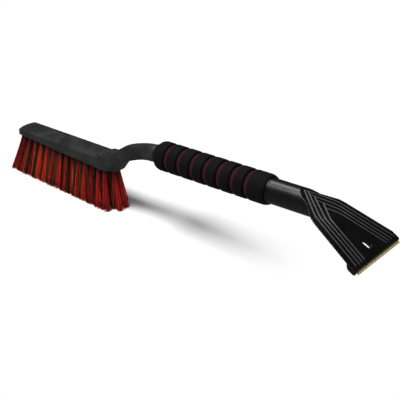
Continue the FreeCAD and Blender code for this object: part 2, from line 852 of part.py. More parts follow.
def check(doc):
    """Stops if an object failed or a sub-part has no valid shape."""
    for thing in doc.Objects:
        if {"Invalid", "Error"} & set(thing.State):
            raise RuntimeError(f"{thing.Label} failed: {thing.State}")
    for name in node_names():
        shape = doc.getObject(name).Shape
        if shape.isNull() or not shape.isValid() or not shape.Solids:
            raise RuntimeError(f"{name} has no valid shape")


def write_parts(doc):
    """Writes each sub-part to parts/, and prints its volume and the whole tool's box."""
    os.makedirs("parts", exist_ok=True)
    box = FreeCAD.BoundBox()
    for name in node_names():
        shape = doc.getObject(name).Shape
        shape.exportStep(f"parts/{name}.step")
        box.add(shape.optimalBoundingBox(True, False))
        print(f"{name}: {len(shape.Solids)} solids, {shape.Volume / 1000:.2f} cm3")
    print("box", box)


doc = FreeCAD.newDocument("snow_brush")
make_sheet(doc)
gauge = make_gauge(doc)
make_brush_head(doc)
make_tufts(doc)
make_anchors(doc)
make_core_tube(doc)
make_grip_core(doc)
make_grip_bands(doc)
make_scraper_head(doc)
for pin_end, pin_place in PIN_PLACES.items():
    cross_pin(doc, f"{pin_end}_pin", pin_place)
doc.recompute()
check(doc)
write_parts(doc)
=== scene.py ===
import math
import random

import bpy
from mathutils import Matrix, Vector, noise


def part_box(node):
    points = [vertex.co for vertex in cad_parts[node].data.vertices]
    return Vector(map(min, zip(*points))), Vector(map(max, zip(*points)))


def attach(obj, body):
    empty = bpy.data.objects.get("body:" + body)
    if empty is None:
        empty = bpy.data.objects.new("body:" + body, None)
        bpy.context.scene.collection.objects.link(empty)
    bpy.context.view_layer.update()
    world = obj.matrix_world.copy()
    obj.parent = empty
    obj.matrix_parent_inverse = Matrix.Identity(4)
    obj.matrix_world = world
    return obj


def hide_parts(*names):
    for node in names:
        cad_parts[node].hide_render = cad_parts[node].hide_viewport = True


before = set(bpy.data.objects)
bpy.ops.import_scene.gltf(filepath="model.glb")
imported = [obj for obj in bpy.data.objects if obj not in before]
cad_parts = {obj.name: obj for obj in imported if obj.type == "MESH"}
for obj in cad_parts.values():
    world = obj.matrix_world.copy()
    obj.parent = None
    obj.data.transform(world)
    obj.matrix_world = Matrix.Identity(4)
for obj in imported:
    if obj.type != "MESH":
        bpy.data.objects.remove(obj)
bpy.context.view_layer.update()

# A car snow brush with an ice scraper, standing on its bristle tips on a pale studio floor.
# Everything is in metres. The tool lies along X, with the brush at the low end of X.

MM = 0.001

# The handle axis: the grip starts here and rises gently towards the scraper.
GRIP_START = Vector((-25.7, 0, 101.5)) * MM
GRIP_TILT = math.radians(4.1)

# The scraper's face: its own frame starts at the fan's apex and tips down towards the blade.
FACE_FRAME = Matrix.Translation(Vector((181.8, 0, 131)) * MM) @ Matrix.Rotation(math.radians(22.5), 4, "Y")

# Millimetres down the face: the fan's front edge, and the ground line along the blade.
FAN_LENGTH = 107.4
GROUND_LINE = FAN_LENGTH + 3.6

# The foam grip, measured along its own axis in millimetres.
GRIP_LENGTH = 169
GRIP_RADIUS = 18
NOSE_LENGTH = 8.5
SLEEVE_RADIUS = 15.3
SLEEVE_BORE = 11.05
TUBE_START = 7
BANDS = 8
GROOVE_FIRST = 22.6
GROOVE_PITCH = 19.85
GROOVE_WIDTH = 3.2
LAST_GROOVE = GROOVE_FIRST + (BANDS - 2) * GROOVE_PITCH


# ---------------------------------------------------------------- node helpers


def add_node(tree, kind, inputs=None, **settings):
    """A node with its settings, and its inputs set or linked by name."""
    node = tree.nodes.new(kind)
    for name, setting in settings.items():
        setattr(node, name, setting)
    for name, source in (inputs or {}).items():
        feed(tree, node.inputs[name], source)
    return node


def feed(tree, socket, source):
    """Links a socket to another node's output, or sets it to a plain value."""
    if isinstance(source, bpy.types.NodeSocket):
        tree.links.new(source, socket)
    else:
        socket.default_value = source


def arithmetic(tree, operation, *values):
    """The output of a Math node."""
    node = add_node(tree, "ShaderNodeMath", operation=operation)
    for socket, value in zip(node.inputs, values):
        feed(tree, socket, value)
    return node.outputs[0]


def remap(tree, value, low, high, to_low=0.0, to_high=1.0, smooth=True):
    """A value eased from one range to another."""
    node = add_node(
        tree,
        "ShaderNodeMapRange",
        {"Value": value, "From Min": low, "From Max": high, "To Min": to_low, "To Max": to_high},
        interpolation_type="SMOOTHSTEP" if smooth else "LINEAR",
    )
    return node.outputs["Result"]


def blend_colours(tree, share, first, second):
    """Two colours mixed by a mask."""
    node = add_node(tree, "ShaderNodeMix", data_type="RGBA")
    feed(tree, node.inputs[0], share)
    feed(tree, node.inputs[6], first)
    feed(tree, node.inputs[7], second)
    return node.outputs[2]


def noise_value(tree, scale, detail=3.0, roughness=0.5, stretch=None):
    """Noise over the object's own coordinates, drawn out along an axis if they are stretched."""
    place = add_node(tree, "ShaderNodeTexCoord").outputs["Object"]
    if stretch:
        place = add_node(tree, "ShaderNodeMapping", {"Vector": place, "Scale": stretch}).outputs[0]
    node = add_node(
        tree,
        "ShaderNodeTexNoise",
        {"Vector": place, "Scale": scale, "Detail": detail, "Roughness": roughness},
    )
    return node.outputs["Fac"]


def new_group(name, inputs, outputs):
    """A shader node group with named float inputs and named outputs, and its two end nodes."""
    group = bpy.data.node_groups.new(name, "ShaderNodeTree")
    for label, default in inputs.items():
        socket = group.interface.new_socket(label, in_out="INPUT", socket_type="NodeSocketFloat")
        socket.default_value = default
    for label, kind in outputs.items():
        group.interface.new_socket(label, in_out="OUTPUT", socket_type=kind)
    given = group.nodes.new("NodeGroupInput")
    result = group.nodes.new("NodeGroupOutput")
    return group, given.outputs, result.inputs


def place_group(tree, group, **inputs):
    """One use of a node group, with its own values."""
    node = add_node(tree, "ShaderNodeGroup", node_tree=group)
    for name, source in inputs.items():
        feed(tree, node.inputs[name.replace("_", " ")], source)
    return node.outputs


# ---------------------------------------------------------------- shared effects


def make_edge_wear_and_glint():
    """Edge wear, also used as a painted edge highlight: a mask along rounded edges, and the normal that
    rounds them.
    """
    group, given, result = new_group(
        "edge_wear_and_glint",
        {"Radius": 0.0005, "Strength": 1.0, "Patchiness": 0.5},
        {"Mask": "NodeSocketFloat", "Rounded": "NodeSocketVector"},
    )
    rounded = add_node(group, "ShaderNodeBevel", {"Radius": given["Radius"]}, samples=8)
    straight = add_node(group, "ShaderNodeNewGeometry").outputs["Normal"]
    dot = add_node(group, "ShaderNodeVectorMath", operation="DOT_PRODUCT")
    feed(group, dot.inputs[0], rounded.outputs[0])
    feed(group, dot.inputs[1], straight)
    edge = remap(group, arithmetic(group, "SUBTRACT", 1.0, dot.outputs["Value"]), 0.01, 0.2)
    patches = remap(group, noise_value(group, 160.0, 4.0), 0.35, 0.62)
    kept = arithmetic(group, "SUBTRACT", 1.0, given["Patchiness"])
    patchy = arithmetic(group, "MULTIPLY_ADD", patches, given["Patchiness"], kept)
    wear_and_glint = arithmetic(group, "MULTIPLY", arithmetic(group, "MULTIPLY", edge, patchy), given["Strength"])
    feed(group, result["Mask"], wear_and_glint)
    feed(group, result["Rounded"], rounded.outputs[0])
    return group


def make_moulded_grain():
    """Moulded plastic: broad mottling, and the height of a fine texture."""
    group, given, result = new_group(
        "moulded_grain",
        {"Mottle Scale": 40.0, "Grain Scale": 1800.0},
        {"Mottle": "NodeSocketFloat", "Height": "NodeSocketFloat"},
    )
    broad = noise_value(group, given["Mottle Scale"], 4.0, 0.6)
    fine = noise_value(group, given["Grain Scale"], 2.0, 0.5)
    feed(group, result["Mottle"], remap(group, broad, 0.3, 0.7))
    feed(group, result["Height"], arithmetic(group, "MULTIPLY_ADD", broad, 0.4, fine))
    return group


def make_dust_and_top_light():
    """A little pale dust on what faces up, also used as painted light that brightens up-facing tops."""
    group, given, result = new_group("dust_and_top_light", {"Amount": 0.1}, {"Mask": "NodeSocketFloat"})
    up = add_node(
        group,
        "ShaderNodeSeparateXYZ",
        {"Vector": add_node(group, "ShaderNodeNewGeometry").outputs["Normal"]},
    ).outputs["Z"]
    specks = remap(group, noise_value(group, 420.0, 5.0, 0.7), 0.52, 0.75)
    facing = remap(group, up, 0.2, 1.0)
    dust_and_light = arithmetic(group, "MULTIPLY", arithmetic(group, "MULTIPLY", specks, facing), given["Amount"])
    feed(group, result["Mask"], dust_and_light)
    return group


def make_foam_cells():
    """Closed-cell foam: the height of its tiny cells, and a mask of the paler cell walls."""
    group, given, result = new_group(
        "foam_cells",
        {"Cell Scale": 1500.0},
        {"Height": "NodeSocketFloat", "Walls": "NodeSocketFloat"},
    )
    place = add_node(group, "ShaderNodeTexCoord").outputs["Object"]
    cells = add_node(group, "ShaderNodeTexVoronoi", {"Vector": place, "Scale": given["Cell Scale"]})
    lumps = noise_value(group, 260.0, 4.0, 0.6)
    feed(group, result["Height"], arithmetic(group, "MULTIPLY_ADD", lumps, 0.8, cells.outputs["Distance"]))
    feed(group, result["Walls"], remap(group, cells.outputs["Distance"], 0.2, 0.7))
    return group


EDGE_WEAR_AND_GLINT = make_edge_wear_and_glint()
MOULDED_GRAIN = make_moulded_grain()
DUST_AND_TOP_LIGHT = make_dust_and_top_light()
FOAM_CELLS = make_foam_cells()


# ---------------------------------------------------------------- materials


def new_material(name, **constants):
    """A material with a Principled BSDF, whose plain values are set on the shader's own sockets."""
    material = bpy.data.materials.new(name)
    material.use_nodes = True
    tree = material.node_tree
    shader = tree.nodes["Principled BSDF"]
    for label, value in constants.items():
        shader.inputs[label.replace("_", " ")].default_value = value
    return material, tree, shader


def bump(tree, shader, height, strength, distance, normal=None):
    """A bump on the shader's normal, over an already rounded normal if there is one."""
    node = add_node(tree, "ShaderNodeBump", {"Height": height, "Strength": strength, "Distance": distance})
    if normal is not None:
        feed(tree, node.inputs["Normal"], normal)
    feed(tree, shader.inputs["Normal"], node.outputs[0])


def make_brush_plastic():
    """Charcoal satin plastic with a slightly mottled face, paler edges that are partly wear and partly a
    painted highlight, and up-facing dust that is partly painted light on the top.
    """
    material, tree, shader = new_material("charcoal_satin_plastic", Specular_IOR_Level=0.4)
    grain = place_group(tree, MOULDED_GRAIN, Mottle_Scale=55.0, Grain_Scale=2200.0)
    edge = place_group(tree, EDGE_WEAR_AND_GLINT, Radius=0.001, Strength=1.0, Patchiness=0.35)
    dust_and_light = place_group(tree, DUST_AND_TOP_LIGHT, Amount=0.4)
    body = blend_colours(tree, grain["Mottle"], (0.011, 0.011, 0.0115, 1), (0.022, 0.022, 0.023, 1))
    # Paler edges: wear, and a painted highlight along the block's edges.
    worn_and_lit = blend_colours(tree, edge["Mask"], body, (0.085, 0.085, 0.09, 1))
    # Pale up-facing specks: dust, and painted light that brightens the top.
    dusted_and_lit = blend_colours(tree, dust_and_light["Mask"], worn_and_lit, (0.09, 0.09, 0.09, 1))
    feed(tree, shader.inputs["Base Color"], dusted_and_lit)
    feed(tree, shader.inputs["Roughness"], remap(tree, grain["Mottle"], 0, 1, 0.27, 0.4, smooth=False))
    bump(tree, shader, grain["Height"], 0.22, 0.0002, edge["Rounded"])
    return material


def make_gloss_plastic():
    """Glossy black plastic with faint flow marks and rounded, slightly rubbed edges."""
    material, tree, shader = new_material("black_gloss_plastic", Specular_IOR_Level=0.5)
    grain = place_group(tree, MOULDED_GRAIN, Mottle_Scale=30.0, Grain_Scale=900.0)
    edge = place_group(tree, EDGE_WEAR_AND_GLINT, Radius=0.0006, Strength=0.5, Patchiness=0.4)
    dust_and_light = place_group(tree, DUST_AND_TOP_LIGHT, Amount=0.12)
    body = blend_colours(tree, grain["Mottle"], (0.0016, 0.0016, 0.0018, 1), (0.0032, 0.0032, 0.0036, 1))
    worn_and_lit = blend_colours(tree, edge["Mask"], body, (0.03, 0.03, 0.032, 1))
    dusted_and_lit = blend_colours(tree, dust_and_light["Mask"], worn_and_lit, (0.05, 0.05, 0.05, 1))
    feed(tree, shader.inputs["Base Color"], dusted_and_lit)
    feed(tree, shader.inputs["Roughness"], remap(tree, grain["Mottle"], 0, 1, 0.22, 0.32, smooth=False))
    bump(tree, shader, grain["Height"], 0.06, 0.0002, edge["Rounded"])
    return material


def distance_along(tree, start, axis):
    """How far along an axis a point lies from its start, in millimetres."""
    offset = add_node(tree, "ShaderNodeVectorMath", operation="SUBTRACT")
    feed(tree, offset.inputs[0], add_node(tree, "ShaderNodeTexCoord").outputs["Object"])
    offset.inputs[1].default_value = start
    dot = add_node(tree, "ShaderNodeVectorMath", operation="DOT_PRODUCT")
    feed(tree, dot.inputs[0], offset.outputs[0])
    dot.inputs[1].default_value = axis / MM
    return dot.outputs["Value"]


def make_rib_plastic():
    """The scraper's ribs: the same black plastic, painted grey along their crests as a painted highlight."""
    material, tree, shader = new_material("rib_plastic_painted_crest_highlight", Specular_IOR_Level=0.35)
    grain = place_group(tree, MOULDED_GRAIN, Mottle_Scale=60.0, Grain_Scale=1200.0)
    upward = add_node(tree, "ShaderNodeVectorMath", operation="DOT_PRODUCT")
    feed(tree, upward.inputs[0], add_node(tree, "ShaderNodeNewGeometry").outputs["Normal"])
    upward.inputs[1].default_value = FACE_FRAME.to_3x3() @ Vector((0, 0, 1))
    crest = remap(tree, upward.outputs["Value"], 0.2, 0.8)
    # Painted highlight: the crests that face up from the face are painted grey.
    crest_highlight = arithmetic(tree, "MULTIPLY", crest, remap(tree, grain["Mottle"], 0, 1, 0.75, 1.0))
    colour = blend_colours(tree, crest_highlight, (0.002, 0.002, 0.0022, 1), (0.068, 0.068, 0.071, 1))
    feed(tree, shader.inputs["Base Color"], colour)
    feed(tree, shader.inputs["Roughness"], remap(tree, crest, 0, 1, 0.3, 0.48, smooth=False))
    bump(tree, shader, grain["Height"], 0.08, 0.0002)
    return material


def make_brass():
    """Rolled brass: fine lines along the strip, darker stains, painted shade and reflection of the black
    plastic along the back edge, and a pale ground line brightened as a painted highlight.
    """
    material, tree, shader = new_material("rolled_brass")
    lines = noise_value(tree, 60.0, 3.0, 0.6, stretch=(40.0, 1.0, 40.0))
    stains = remap(tree, noise_value(tree, 220.0, 5.0, 0.65), 0.4, 0.7)
    edge = place_group(tree, EDGE_WEAR_AND_GLINT, Radius=0.0002, Strength=0.9, Patchiness=0.2)
    body = blend_colours(tree, lines, (0.5, 0.4, 0.15, 1), (0.66, 0.55, 0.26, 1))
    stained = blend_colours(tree, arithmetic(tree, "MULTIPLY", stains, 0.45), body, (0.2, 0.13, 0.04, 1))
    bright = blend_colours(tree, edge["Mask"], stained, (0.85, 0.72, 0.42, 1))
    down = distance_along(tree, FACE_FRAME.translation, FACE_FRAME.to_3x3() @ Vector((1, 0, 0)))
    waver = arithmetic(tree, "MULTIPLY_ADD", noise_value(tree, 150.0, 3.0), 0.6, -0.3)
    # Painted shade: the back edge under the plastic is painted dark brown, as shadow and reflection of the
    # black plastic.
    painted_back_shade = remap(tree, arithmetic(tree, "ADD", down, waver), FAN_LENGTH + 0.2, FAN_LENGTH + 2.2, 0.9, 0.0)
    back_shaded = blend_colours(tree, painted_back_shade, bright, (0.07, 0.04, 0.015, 1))
    off_line = arithmetic(tree, "ABSOLUTE", arithmetic(tree, "SUBTRACT", down, GROUND_LINE))
    # Painted highlight: a pale line along the blade's ground line.
    painted_ground_glint = remap(tree, off_line, 0.3, 0.7, 0.8, 0.0)
    feed(tree, shader.inputs["Base Color"], blend_colours(tree, painted_ground_glint, back_shaded, (0.9, 0.8, 0.5, 1)))
    feed(tree, shader.inputs["Metallic"], remap(tree, stains, 0, 1, 0.6, 0.45, smooth=False))
    feed(tree, shader.inputs["Roughness"], remap(tree, stains, 0, 1, 0.3, 0.5, smooth=False))
    bump(tree, shader, lines, 0.2, 0.0001, edge["Rounded"])
    return material


def make_bare_metal(name, dark, light, roughness):
    """Drawn metal with fine scratches, for the tube, pins and wire anchors."""
    material, tree, shader = new_material(name, Metallic=1.0)
    scratches = noise_value(tree, 90.0, 4.0, 0.6, stretch=(1.0, 30.0, 30.0))
    smudges = noise_value(tree, 70.0, 4.0, 0.6)
    feed(tree, shader.inputs["Base Color"], blend_colours(tree, scratches, dark, light))
    feed(tree, shader.inputs["Roughness"], remap(tree, smudges, 0.3, 0.7, roughness - 0.08, roughness + 0.1))
    bump(tree, shader, scratches, 0.2, 0.0001)
    return material


def make_black_foam():
    """Black foam skin. The red layer beneath shows through where each band is cut down to a groove."""
    material, tree, shader = new_material(
        "black_foam_skin", Specular_IOR_Level=0.07, Sheen_Weight=0.01, Sheen_Roughness=0.5
    )
    cells = place_group(tree, FOAM_CELLS, Cell_Scale=1700.0)
    along = distance_along(tree, GRIP_START, Vector((math.cos(GRIP_TILT), 0, math.sin(GRIP_TILT))))
    just_past = 0.001
    after = arithmetic(tree, "SUBTRACT", along, GROOVE_FIRST + GROOVE_WIDTH / 2 + just_past)
    within = arithmetic(tree, "FLOORED_MODULO", after, GROOVE_PITCH)
    ragged = arithmetic(tree, "MULTIPLY_ADD", noise_value(tree, 200.0, 4.0, 0.6), 2.4, -1.2)
    depth = arithmetic(tree, "ADD", within, ragged)
    red_start, red_end = 0.2, 5.6
    cut = remap(tree, depth, red_start, red_end, 1.0, 0.0)
    past_first = remap(tree, along, GROOVE_FIRST, GROOVE_FIRST + 1.0)
    before_end = remap(tree, along, LAST_GROOVE + 8, LAST_GROOVE + 9, 1.0, 0.0)
    mask = arithmetic(tree, "MULTIPLY", arithmetic(tree, "MULTIPLY", cut, past_first), before_end)
    black = blend_colours(tree, cells["Walls"], (0.0016, 0.0016, 0.0017, 1), (0.004, 0.004, 0.0042, 1))
    red = blend_colours(tree, cells["Walls"], (0.03, 0.004, 0.01, 1), (0.058, 0.008, 0.019, 1))
    feed(tree, shader.inputs["Base Color"], blend_colours(tree, mask, black, red))
    feed(tree, shader.inputs["Roughness"], remap(tree, cells["Walls"], 0, 1, 0.62, 0.85, smooth=False))
    bump(tree, shader, cells["Height"], 0.5, 0.0003)
    return material


def make_red_foam():
    """Dark red foam sleeve, seen at the bottom of the grooves, darkened further as painted shade in the
    grooves.
    """
    material, tree, shader = new_material("red_foam_core", Specular_IOR_Level=0.1)
    cells = place_group(tree, FOAM_CELLS, Cell_Scale=1500.0)
    # The red is darkened as painted shade at the groove bottoms.
    colour = blend_colours(tree, cells["Walls"], (0.008, 0.0012, 0.002, 1), (0.02, 0.003, 0.005, 1))
    feed(tree, shader.inputs["Base Color"], colour)
    feed(tree, shader.inputs["Roughness"], remap(tree, cells["Walls"], 0, 1, 0.7, 0.92, smooth=False))
    bump(tree, shader, cells["Height"], 0.5, 0.0003)
    return material


def make_bristle(name, deep, mid, bright):
    """Extruded filament: each strand has its own shade, and a painted shade darkens it towards its root,
    under the block.
    """
    material, tree, shader = new_material(name, Specular_IOR_Level=0.3)
    strand = add_node(tree, "ShaderNodeAttribute", attribute_name="strand_shade").outputs["Fac"]
    along = add_node(tree, "ShaderNodeAttribute", attribute_name="strand_along").outputs["Fac"]
    streaks = noise_value(tree, 300.0, 3.0, 0.6, stretch=(1.0, 1.0, 0.12))
    shade = arithmetic(tree, "ADD", strand, arithmetic(tree, "MULTIPLY_ADD", streaks, 0.5, -0.25))
    lower = blend_colours(tree, remap(tree, shade, 0.0, 0.5), deep, mid)
    colour = blend_colours(tree, remap(tree, shade, 0.5, 1.0), lower, bright)
    # Painted shade: strands darken towards their roots under the block.
    root = remap(tree, along, 0.05, 0.5, 0.75, 0.0)
    feed(tree, shader.inputs["Base Color"], blend_colours(tree, root, colour, deep))
    feed(tree, shader.inputs["Roughness"], remap(tree, streaks, 0.3, 0.7, 0.39, 0.55))
    bump(tree, shader, streaks, 0.15, 0.0001)
    return material


# The floor takes shadows around this place, and between these two distances it turns into a painted white
# glow that hides any shadow.
SHADOW_MIDDLE = (-0.16, -0.02, 0)
SHADOW_NEAR = 0.1
SHADOW_FAR = 0.34
GLOSS_DIMMING = 0.12


def make_floor_paint():
    """A pale studio floor that turns into a painted white glow away from the brush, hiding shadows there, and
    shows dimly in gloss.
    """
    material, tree, shader = new_material("pale_floor", Roughness=0.9, Specular_IOR_Level=0.1)
    cloudy = noise_value(tree, 1.2, 2.0)
    paint = blend_colours(tree, cloudy, (0.9, 0.9, 0.9, 1), (0.92, 0.92, 0.92, 1))
    place = add_node(tree, "ShaderNodeTexCoord").outputs["Object"]
    from_brush = add_node(tree, "ShaderNodeVectorMath", operation="DISTANCE")
    feed(tree, from_brush.inputs[0], place)
    from_brush.inputs[1].default_value = SHADOW_MIDDLE
    painted_glow = remap(tree, from_brush.outputs["Value"], SHADOW_NEAR, SHADOW_FAR)
    gloss = add_node(tree, "ShaderNodeLightPath").outputs["Is Glossy Ray"]
    seen = remap(tree, gloss, 0, 1, 1.0, GLOSS_DIMMING, smooth=False)
    kept = arithmetic(tree, "MULTIPLY", arithmetic(tree, "SUBTRACT", 1.0, painted_glow), seen)
    feed(tree, shader.inputs["Base Color"], blend_colours(tree, kept, (0, 0, 0, 1), paint))
    # Painted glow: the floor emits white away from the brush.
    shader.inputs["Emission Color"].default_value = (1, 1, 1, 1)
    feed(tree, shader.inputs["Emission Strength"], arithmetic(tree, "MULTIPLY", painted_glow, seen))
    return material


BRUSH_PLASTIC = make_brush_plastic()
GLOSS_PLASTIC = make_gloss_plastic()
RIB_PLASTIC = make_rib_plastic()
BRASS = make_brass()
ALUMINIUM = make_bare_metal("mill_aluminium", (0.55, 0.56, 0.58, 1), (0.75, 0.76, 0.78, 1), 0.38)
STEEL = make_bare_metal("drawn_steel", (0.4, 0.4, 0.41, 1), (0.62, 0.62, 0.63, 1), 0.32)
BLACK_FOAM = make_black_foam()
RED_FOAM = make_red_foam()
RED_BRISTLE = make_bristle(
    "red_filament", (0.05, 0.0, 0.001, 1), (0.54, 0.002, 0.004, 1), (0.93, 0.065, 0.008, 1)
)
BLACK_BRISTLE = make_bristle(
    "olive_black_filament", (0.004, 0.003, 0.001, 1), (0.03, 0.022, 0.006, 1), (0.13, 0.085, 0.02, 1)
)


# ---------------------------------------------------------------- carried-over parts


def finish_cad_parts():
    """Gives the moulded and metal parts their own finishes."""
    finishes = {
        "brush_head": BRUSH_PLASTIC,
        "scraper_head": GLOSS_PLASTIC,
        "scraper_blade": BRASS,
        "core_tube": ALUMINIUM,
        "neck_pin": STEEL,
        "scraper_pin": STEEL,
        "tuft_anchors": STEEL,
    }
    for node, material in finishes.items():
        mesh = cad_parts[node].data
        for i in range(len(mesh.materials)):
            mesh.materials[i] = material


# ---------------------------------------------------------------- scraper ribs

# Each chevron's apex, bend and front end: millimetres down the face, and out from the middle.
CHEVRONS = (
    ((4.3, 0), (36.0, 20.6), (103.4, 36.8)),
    ((11.9, 0), (39.8, 16.6), (103.4, 31.0)),
    ((21.6, 0), (44.4, 12.8), (103.4, 25.9)),
    ((34.6, 0), (48.2, 8.4), (103.4, 20.9)),
)

# The beads' radius, their centre's height over the face, and how they round each bend and dip at the front.
RIB_RADIUS = 1.0
RIB_LEVEL = 0.35
RIB_BEND = 5.0
RIB_DIP = 1.2


def crossing(start, end, other_start, other_end):
    """Where two lines on the face cross."""
    along, other = end - start, other_end - other_start
    between = other_start - start
    share = (between.x * other.y - between.y * other.x) / (along.x * other.y - along.y * other.x)
    return start + along * share


def eased_bend(points, reach):
    """The same line with its middle corner rounded off."""
    start, corner, end = points
    into = corner + (start - corner).normalized() * reach
    out = corner + (end - corner).normalized() * reach
    turn = [into * (1 - t) ** 2 + corner * 2 * t * (1 - t) + out * t**2 for t in (k / 6 for k in range(7))]
    return [start, *turn, end]


def lay_bead(name, points):
    """A round bead along the face, which dips into it at the front."""
    curve = bpy.data.curves.new(name, "CURVE")
    curve.dimensions = "3D"
    curve.bevel_depth = RIB_RADIUS * MM
    curve.bevel_resolution = 5
    curve.use_fill_caps = True
    spline = curve.splines.new("POLY")
    track = [Vector((p.x, p.y, RIB_LEVEL)) for p in eased_bend(points, RIB_BEND)]
    ahead = (track[-1] - track[-2]).normalized()
    track.append(track[-1] + (ahead + Vector((0, 0, -1))) * RIB_DIP)
    spline.points.add(len(track) - 1)
    for point, place in zip(spline.points, track):
        point.co = (*(FACE_FRAME @ (place * MM)), 1)
    curve.materials.append(RIB_PLASTIC)
    bead = bpy.data.objects.new(name, curve)
    bpy.context.scene.collection.objects.link(bead)
    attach(bead, "root")


def lay_ribs():
    """The rounded crests of the chevron ribs. Each near branch runs on to meet the chevron outside it."""
    outside = None
    for number, corners in enumerate(CHEVRONS, 1):
        far = [Vector((x, y)) for x, y in corners]
        near = [Vector((x, -y)) for x, y in corners]
        if outside:
            near[0] = crossing(near[0], near[1], outside[0], outside[1])
        lay_bead(f"far_rib_{number}", far)
        lay_bead(f"near_rib_{number}", near)
        outside = far


# ---------------------------------------------------------------- soft pieces


def add_soft_piece(name, vertices, faces, material, node):
    """A smooth mesh object that stands in for one of the plain soft solids."""
    mesh = bpy.data.meshes.new(name)
    mesh.from_pydata(vertices, [], faces)
    mesh.shade_smooth()
    mesh.materials.append(material)
    piece = bpy.data.objects.new(name, mesh)
    bpy.context.scene.collection.objects.link(piece)
    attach(piece, "root")
    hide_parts(node)
    return piece


# ---------------------------------------------------------------- bristles


def clusters(points, gap):
    """The middle of each group of points, where a gap along X parts one group from the next."""
    groups = []
    for point in sorted(points, key=lambda p: p.x):
        if not groups or point.x - groups[-1][-1].x > gap:
            groups.append([])
        groups[-1].append(point)
    return [(Vector(map(min, *g)) + Vector(map(max, *g))) / 2 for g in groups]


def tuft_ends(node):
    """The root and tip of each tuft in a row, from its plain solid."""
    low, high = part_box(node)
    near, gap = 0.05 * MM, 3 * MM
    points = [v.co.copy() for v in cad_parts[node].data.vertices]
    roots = clusters([p for p in points if p.z > high[2] - near], gap)
    tips = clusters([p for p in points if p.z < low[2] + near], gap)
    return list(zip(roots, tips))


TUFT_PITCH = 5.85 * MM
STRANDS = 84
STRAND_RINGS = 6
STRAND_SIDES = 4
SUNFLOWER_TURN = 2.39996
ROOT_REACH = 1.75 * MM
SIDE_REACH = 4.3 * MM

# Where along a row its tufts start to crowd towards the neck, as a share of the row.
NECK_CROWD_START = 0.7


def grow_strand(rng, root, tip, place, reach, thickness):
    """The centre line of one filament, with its thickness at each ring. reach is the tip's spread along X."""
    hang = tip - root
    wander = Vector((rng.gauss(0, 0.8), rng.gauss(0, 0.8), 0)) * MM
    lift = abs(rng.gauss(0, 0.7)) * MM
    foot = Vector((*place, 0)) * ROOT_REACH
    head = Vector((place[0] * reach[0 if place[0] < 0 else 1], place[1] * SIDE_REACH, 0))
    line = []
    for ring in range(STRAND_RINGS):
        t = ring / (STRAND_RINGS - 1)
        centre = root + Vector((hang.x * t**1.18, hang.y * t**1.18, hang.z * t + lift * t))
        bow = math.sin(math.pi * t) * 0.5
        line.append((centre + foot.lerp(head, t**1.2) + wander * (t + bow), thickness * (1 - 0.22 * t)))
    return line


def skin_strand(line, angle, vertices, faces):
    """Adds a closed square tube along a filament's centre line."""
    first = len(vertices)
    for centre, wide in line:
        for side in range(STRAND_SIDES):
            a = math.tau * side / STRAND_SIDES + angle
            vertices.append(centre + Vector((wide * math.cos(a), wide * math.sin(a), 0)))
    for ring in range(STRAND_RINGS - 1):
        for side in range(STRAND_SIDES):
            a = first + ring * STRAND_SIDES + side
            b = first + ring * STRAND_SIDES + (side + 1) % STRAND_SIDES
            faces.append((a, a + STRAND_SIDES, b + STRAND_SIDES, b))
    last = first + (STRAND_RINGS - 1) * STRAND_SIDES
    faces.append(tuple(first + side for side in range(STRAND_SIDES)))
    faces.append(tuple(last + side for side in reversed(range(STRAND_SIDES))))


def brush_row(node, material, fullness, neck_fullness, thickness, seed):
    """One row of tufts as separate filaments, in place of its plain solids."""
    rng = random.Random(seed)
    vertices, faces, shade, along = [], [], [], []
    ring_shares = [ring / (STRAND_RINGS - 1) for ring in range(STRAND_RINGS) for side in range(STRAND_SIDES)]
    ends = tuft_ends(node)
    for number, (root, tip) in enumerate(ends):
        before = tip.x - ends[number - 1][1].x if number else TUFT_PITCH
        after = ends[number + 1][1].x - tip.x if number + 1 < len(ends) else TUFT_PITCH
        nearness = max(0, number / (len(ends) - 1) - NECK_CROWD_START) / (1 - NECK_CROWD_START)
        full = fullness + (neck_fullness - fullness) * nearness
        reach = (full * before / 4, full * after / 4)
        strands = round(STRANDS * max(1.1, (before + after) / (4 * TUFT_PITCH)))
        tuft_shade = rng.uniform(-0.16, 0.16)
        turn = rng.uniform(0, math.tau)
        if 0 < number < len(ends) - 1:
            tip = tip + Vector((rng.gauss(0, 0.9), rng.gauss(0, 0.6), 0)) * MM
        for k in range(strands):
            radius = math.sqrt((k + 0.5) / strands)
            angle = turn + k * SUNFLOWER_TURN + rng.gauss(0, 0.15)
            place = (radius * math.cos(angle), radius * math.sin(angle))
            line = grow_strand(rng, root, tip, place, reach, thickness)
            # Tone falls towards the neck end: painted shade there.
            tone = min(1.0, max(0.0, rng.gauss(0.43, 0.37) + tuft_shade - 0.16 * nearness))
            skin_strand(line, angle, vertices, faces)
            shade += [tone] * len(ring_shares)
            along += ring_shares
    piece = add_soft_piece(node + "_strands", vertices, faces, material, node)
    for label, values in (("strand_shade", shade), ("strand_along", along)):
        piece.data.attributes.new(label, "FLOAT", "POINT").data.foreach_set("value", values)


def plant_bristles():
    """All the rows. Red tufts are fuller than black ones, and close over them towards the neck."""
    for row in range(1, 5):
        brush_row(f"red_tufts_row_{row}", RED_BRISTLE, 2.0, 2.7, 0.3 * MM, 10 + row)
        brush_row(f"black_tufts_row_{row}", BLACK_BRISTLE, 1.1, 0.3, 0.27 * MM, 20 + row)


# ---------------------------------------------------------------- foam grip

GRIP_FRAME = Matrix.Translation(GRIP_START) @ Matrix.Rotation(-GRIP_TILT, 4, "Y")
TURN_STEPS = 168


